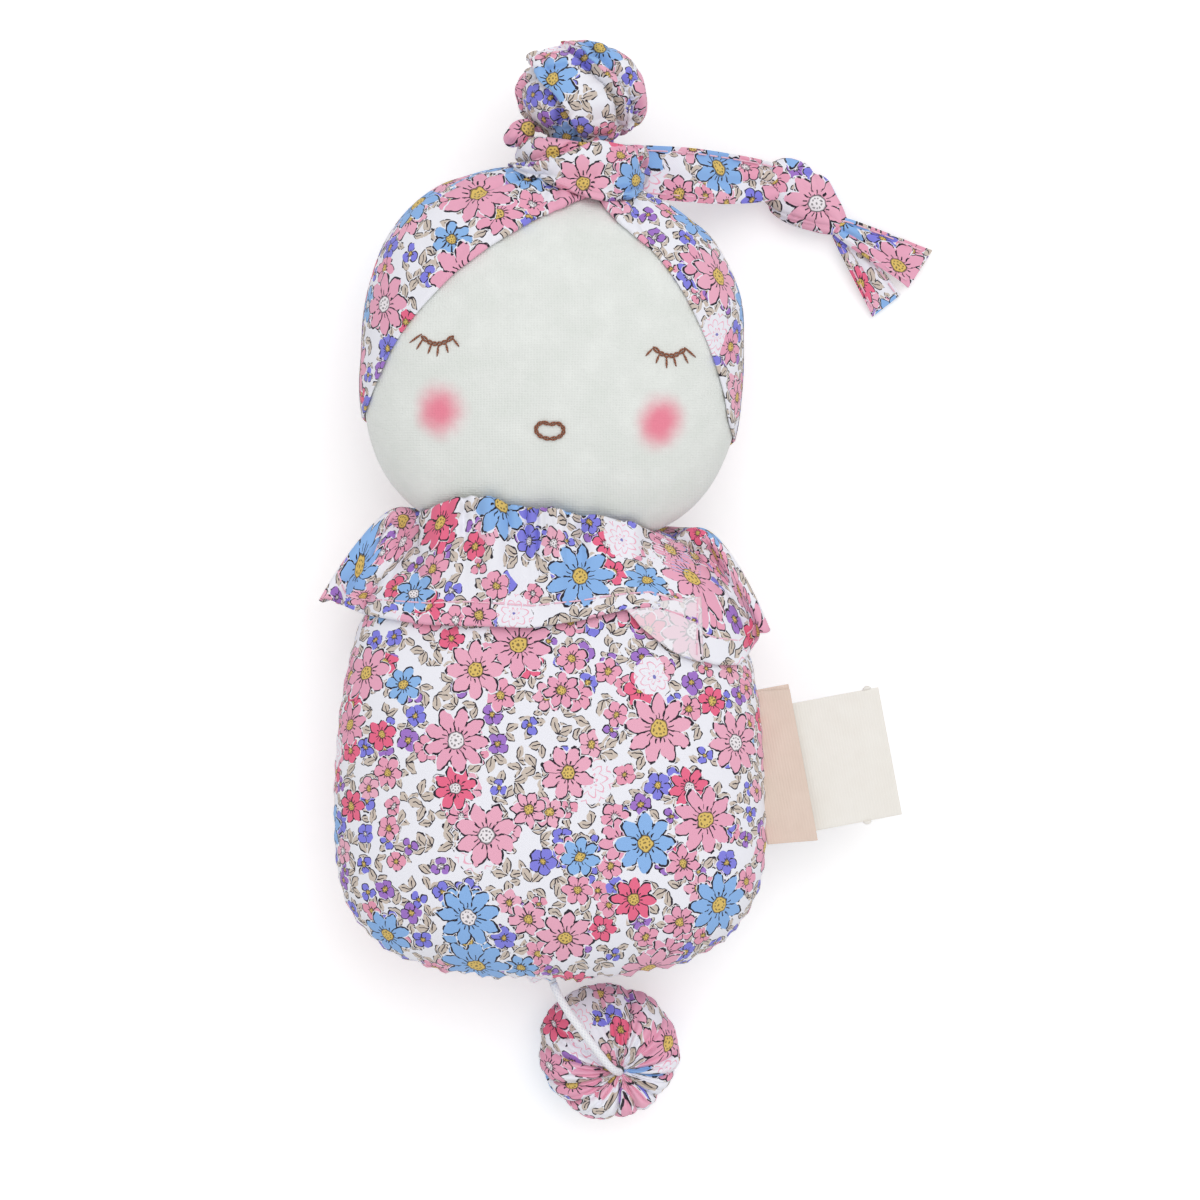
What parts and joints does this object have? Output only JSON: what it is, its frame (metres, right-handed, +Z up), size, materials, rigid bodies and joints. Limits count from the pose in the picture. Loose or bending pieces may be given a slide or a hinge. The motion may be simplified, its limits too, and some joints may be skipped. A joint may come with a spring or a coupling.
{
  "type": "musical doll",
  "caption": "Stuffed cloth doll with a turban, a collar frill and a pull cord with a pom that winds the spring movement inside its body.",
  "frame": {"origin": "middle of the flat that the back of the body rests on", "axes": "+Z up out of the doll's face as it lies on its back, +Y towards the topknot, +X to the viewer's right"},
  "size_m": [0.1532, 0.2748, 0.0596],
  "materials": {
    "print_cotton": "small floral print on white woven cotton, matt",
    "velour": "cream velour with a short pile",
    "wadding": "loose white polyester fibre",
    "label_tape": "cream woven tape, satin",
    "white_cord": "white braided cord",
    "white_plastic": "moulded, fine matt",
    "zinc": "die-cast, satin",
    "steel": "bright ground",
    "brass": "turned, bright"
  },
  "bodies": {
    "doll": {"body_front_panel": "print_cotton", "body_back_panel": "print_cotton", "body_stuffing": "wadding", "head_face_panel": "velour", "head_back_panel": "velour", "head_stuffing": "wadding", "turban_left_wrap": "print_cotton", "turban_right_wrap": "print_cotton", "topknot_bun": "print_cotton", "topknot_band": "print_cotton", "tie_ribbon": "print_cotton", "tie_knot": "print_cotton", "tie_end_upper": "print_cotton", "tie_end_lower": "print_cotton", "collar_frill": "print_cotton", "seam_label_short": "label_tape", "seam_label_long": "label_tape", "case_back": "white_plastic", "case_front": "white_plastic", "case_screw_1": "steel", "case_screw_2": "steel", "case_screw_3": "steel", "bedplate": "zinc", "comb": "steel", "comb_screw_1": "steel", "comb_screw_2": "steel", "reel_arbor": "steel", "mainspring": "steel", "governor_bracket": "brass", "wound_cord": "white_cord"},
    "pull": {"pull_pom_cover": "print_cotton", "pull_pom_stuffing": "wadding", "pull_cord_knot": "white_cord", "pull_cord": "white_cord"},
    "reel": {"cord_reel": "white_plastic", "barrel_cover": "white_plastic", "crown_wheel": "brass"},
    "cylinder": {"pin_cylinder": "brass", "cylinder_arbor": "steel", "cylinder_pinion": "brass", "cylinder_wheel": "brass"},
    "governor_wheel": {"governor_arbor": "steel", "worm_wheel": "brass"},
    "governor_fly": {"governor_worm": "steel", "governor_fan": "white_plastic"}
  },
  "joints": [
    {"name": "pull_slide", "type": "slide", "parent": "doll", "child": "pull", "axis": [0.5763, -0.8172, 0], "range_m": [0, 0.2], "stiffness_N_per_m": 12, "deforming": ["pull_cord"]},
    {"name": "reel_spin", "type": "hinge", "parent": "doll", "child": "reel", "pos_m": [0, 0.006, 0.0189], "axis": [0, 0, 1], "range_deg": [-1, 704]},
    {"name": "cylinder_spin", "type": "hinge", "parent": "doll", "child": "cylinder", "pos_m": [0.004, 0.006, 0.0345], "axis": [1, 0, 0], "range_deg": [-869, 1]},
    {"name": "governor_wheel_spin", "type": "hinge", "parent": "doll", "child": "governor_wheel", "pos_m": [0.0155, -0.00112, 0.0345], "axis": [1, 0, 0], "range_deg": [-1, 2172]},
    {"name": "governor_fly_spin", "type": "hinge", "parent": "doll", "child": "governor_fly", "pos_m": [0.01613, -0.00594, 0.0345], "axis": [0, 0, 1], "range_deg": [-1, 34738]}
  ],
  "couplings": [
    {"joint": "reel_spin", "follows": "pull_slide", "rad_per_m": 61.35},
    {"joint": "cylinder_spin", "follows": "pull_slide", "rad_per_m": -75.785},
    {"joint": "governor_wheel_spin", "follows": "pull_slide", "rad_per_m": 189.46},
    {"joint": "governor_fly_spin", "follows": "pull_slide", "rad_per_m": 3031.4}
  ]
}
